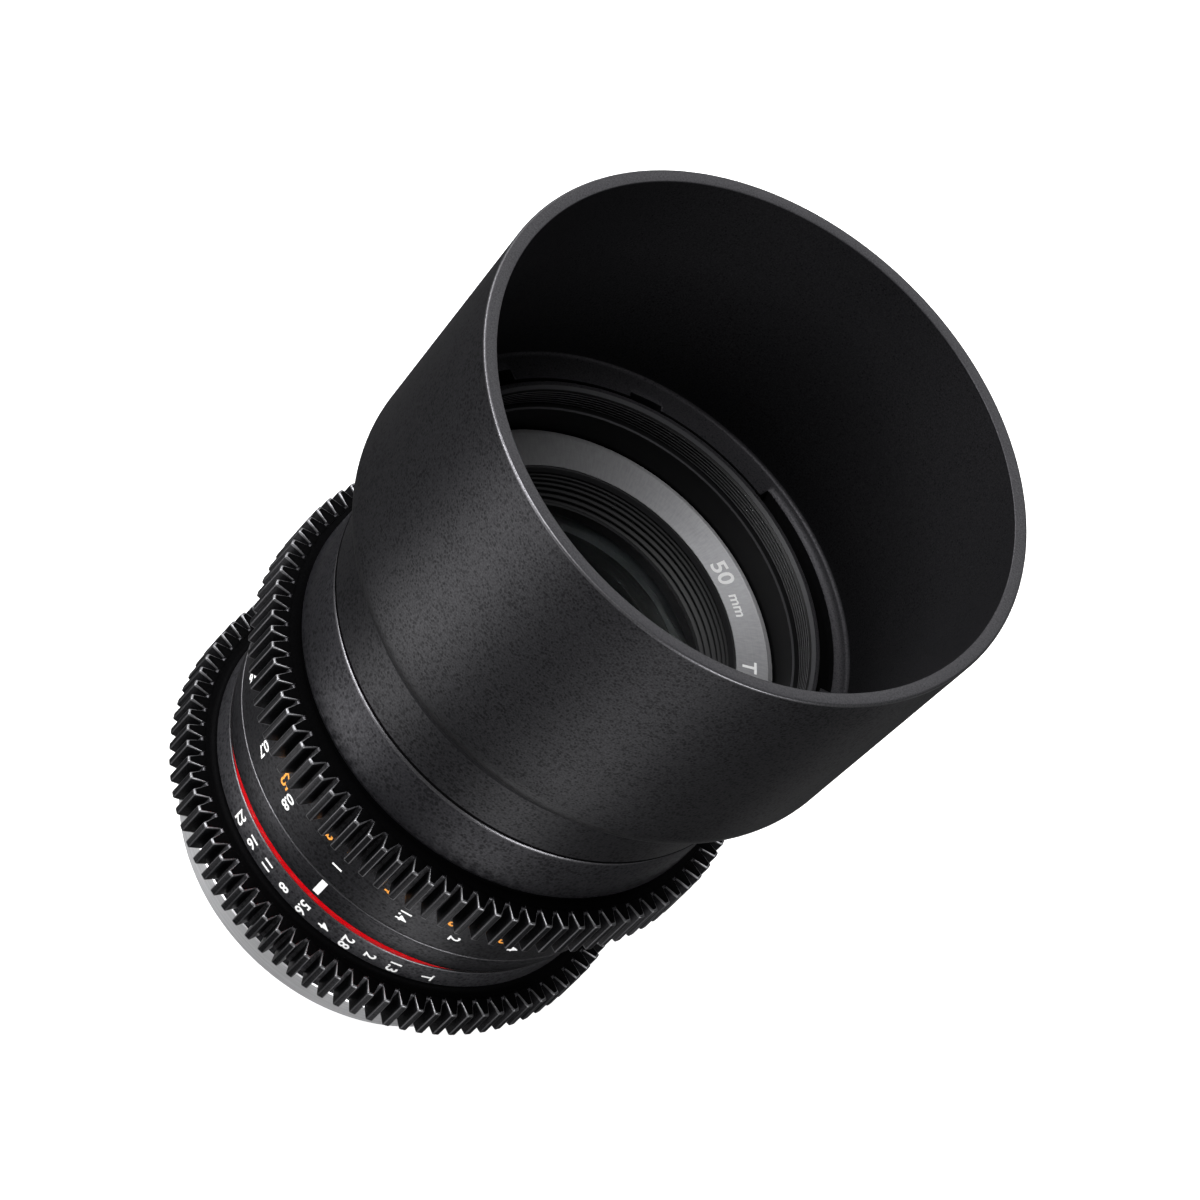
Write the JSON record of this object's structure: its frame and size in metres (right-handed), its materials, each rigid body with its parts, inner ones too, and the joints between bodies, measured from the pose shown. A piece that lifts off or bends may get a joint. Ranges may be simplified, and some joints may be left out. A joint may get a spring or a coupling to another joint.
{
  "type": "cinema prime lens",
  "caption": "Black cinema prime lens with geared focus and iris rings, a red accent ring, a silver bayonet mount and a deep round hood, with its cells, cam and iris inside.",
  "frame": {"origin": "centre of the mount's flange face, on the optical axis", "axes": "+Z is the optical axis and runs to the front; -Y passes through the index line; +X is to the right seen with the index line in front and the hood up"},
  "size_m": [0.0802, 0.0802, 0.1173],
  "materials": {
    "black_anodised": "speckled semi-matte black anodising",
    "inner_black": "matte black inside",
    "hood_black": "speckled moulded black",
    "mount_steel": "satin turned",
    "screw_steel": "plain",
    "red_paint": "satin red",
    "brass": "machined",
    "satin_grey": "satin turned grey",
    "blade_black": "dull black",
    "optical_glass": "coated polished glass"
  },
  "bodies": {
    "barrel": {"mount_ring": "mount_steel", "mount_screws": "screw_steel", "mount_dot": "red_paint", "rear_baffle": "inner_black", "rear_barrel": "black_anodised", "guide_tube": "inner_black", "accent_ring": "red_paint", "index_ring": "black_anodised", "front_barrel": "black_anodised", "barrel_screws": "screw_steel"},
    "focus_ring": {"focus_ring": "black_anodised", "focus_cam": "brass", "focus_cam_screws": "screw_steel"},
    "iris_ring": {"iris_ring": "black_anodised", "iris_pin": "screw_steel"},
    "focus_unit": {"focus_sleeve": "inner_black", "cam_followers": "brass", "name_ring": "satin_grey", "front_baffle": "inner_black", "front_retainer": "inner_black", "front_spacer": "inner_black", "front_cell": "inner_black", "front_doublet_retainer": "inner_black", "iris_case": "inner_black", "iris_retainer": "inner_black", "rear_cell": "inner_black", "rear_doublet_retainer": "inner_black", "rear_spacer": "inner_black", "rear_shim": "brass", "rear_retainer": "inner_black", "lens_1": "optical_glass", "lens_2": "optical_glass", "lens_3": "optical_glass", "lens_4": "optical_glass", "lens_5": "optical_glass", "lens_6": "optical_glass", "lens_7": "optical_glass", "lens_8": "optical_glass", "lens_9": "optical_glass"},
    "iris_drive": {"iris_cam_ring": "inner_black", "iris_lever": "screw_steel", "lever_rivets": "brass"},
    "hood": {"lens_hood": "hood_black"},
    "blade_1": {"iris_blade_1": "blade_black"},
    "blade_2": {"iris_blade_2": "blade_black"},
    "blade_3": {"iris_blade_3": "blade_black"},
    "blade_4": {"iris_blade_4": "blade_black"},
    "blade_5": {"iris_blade_5": "blade_black"},
    "blade_6": {"iris_blade_6": "blade_black"},
    "blade_7": {"iris_blade_7": "blade_black"},
    "blade_8": {"iris_blade_8": "blade_black"},
    "blade_9": {"iris_blade_9": "blade_black"}
  },
  "joints": [
    {"name": "focus_turn", "type": "hinge", "parent": "barrel", "child": "focus_ring", "pos_m": [0, 0, 0.0414], "axis": [0, 0, 1], "range_deg": [-65.6, 87.6]},
    {"name": "focus_slide", "type": "slide", "parent": "barrel", "child": "focus_unit", "axis": [0, 0, 1], "range_m": [-0.00292, 0.0039]},
    {"name": "iris_turn", "type": "hinge", "parent": "barrel", "child": "iris_ring", "pos_m": [0, 0, 0.0149], "axis": [0, 0, 1], "range_deg": [-27.2, 27]},
    {"name": "iris_drive_turn", "type": "hinge", "parent": "focus_unit", "child": "iris_drive", "pos_m": [0, 0, 0.036], "axis": [0, 0, 1], "range_deg": [-27.3, 27.1]},
    {"name": "blade_1_pivot", "type": "hinge", "parent": "focus_unit", "child": "blade_1", "pos_m": [0.02, 0, 0.03696], "axis": [0, 0, 1], "range_deg": [-18.5, 18.4]},
    {"name": "blade_2_pivot", "type": "hinge", "parent": "focus_unit", "child": "blade_2", "pos_m": [0.01532, 0.01286, 0.03716], "axis": [0, 0, 1], "range_deg": [-18.5, 18.4]},
    {"name": "blade_3_pivot", "type": "hinge", "parent": "focus_unit", "child": "blade_3", "pos_m": [0.00347, 0.0197, 0.03736], "axis": [0, 0, 1], "range_deg": [-18.5, 18.4]},
    {"name": "blade_4_pivot", "type": "hinge", "parent": "focus_unit", "child": "blade_4", "pos_m": [-0.01, 0.01732, 0.03756], "axis": [0, 0, 1], "range_deg": [-18.5, 18.4]},
    {"name": "blade_5_pivot", "type": "hinge", "parent": "focus_unit", "child": "blade_5", "pos_m": [-0.01879, 0.00684, 0.03776], "axis": [0, 0, 1], "range_deg": [-18.5, 18.4]},
    {"name": "blade_6_pivot", "type": "hinge", "parent": "focus_unit", "child": "blade_6", "pos_m": [-0.01879, -0.00684, 0.03796], "axis": [0, 0, 1], "range_deg": [-18.5, 18.4]},
    {"name": "blade_7_pivot", "type": "hinge", "parent": "focus_unit", "child": "blade_7", "pos_m": [-0.01, -0.01732, 0.03816], "axis": [0, 0, 1], "range_deg": [-18.5, 18.4]},
    {"name": "blade_8_pivot", "type": "hinge", "parent": "focus_unit", "child": "blade_8", "pos_m": [0.00347, -0.0197, 0.03836], "axis": [0, 0, 1], "range_deg": [-18.5, 18.4]},
    {"name": "blade_9_pivot", "type": "hinge", "parent": "focus_unit", "child": "blade_9", "pos_m": [0.01532, -0.01286, 0.03856], "axis": [0, 0, 1], "range_deg": [-18.5, 18.4]},
    {"name": "hood_twist", "type": "hinge", "parent": "barrel", "child": "hood", "pos_m": [0, 0, 0.068], "axis": [0, 0, 1], "range_deg": [0, 56.5]}
  ],
  "couplings": [
    {"joint": "focus_slide", "follows": "focus_turn", "m_per_rad": 0.0025465},
    {"joint": "iris_drive_turn", "follows": "iris_turn", "ratio": 1},
    {"joint": "blade_1_pivot", "follows": "iris_turn", "ratio": 0.67752},
    {"joint": "blade_2_pivot", "follows": "iris_turn", "ratio": 0.67752},
    {"joint": "blade_3_pivot", "follows": "iris_turn", "ratio": 0.67752},
    {"joint": "blade_4_pivot", "follows": "iris_turn", "ratio": 0.67752},
    {"joint": "blade_5_pivot", "follows": "iris_turn", "ratio": 0.67752},
    {"joint": "blade_6_pivot", "follows": "iris_turn", "ratio": 0.67752},
    {"joint": "blade_7_pivot", "follows": "iris_turn", "ratio": 0.67752},
    {"joint": "blade_8_pivot", "follows": "iris_turn", "ratio": 0.67752},
    {"joint": "blade_9_pivot", "follows": "iris_turn", "ratio": 0.67752}
  ]
}
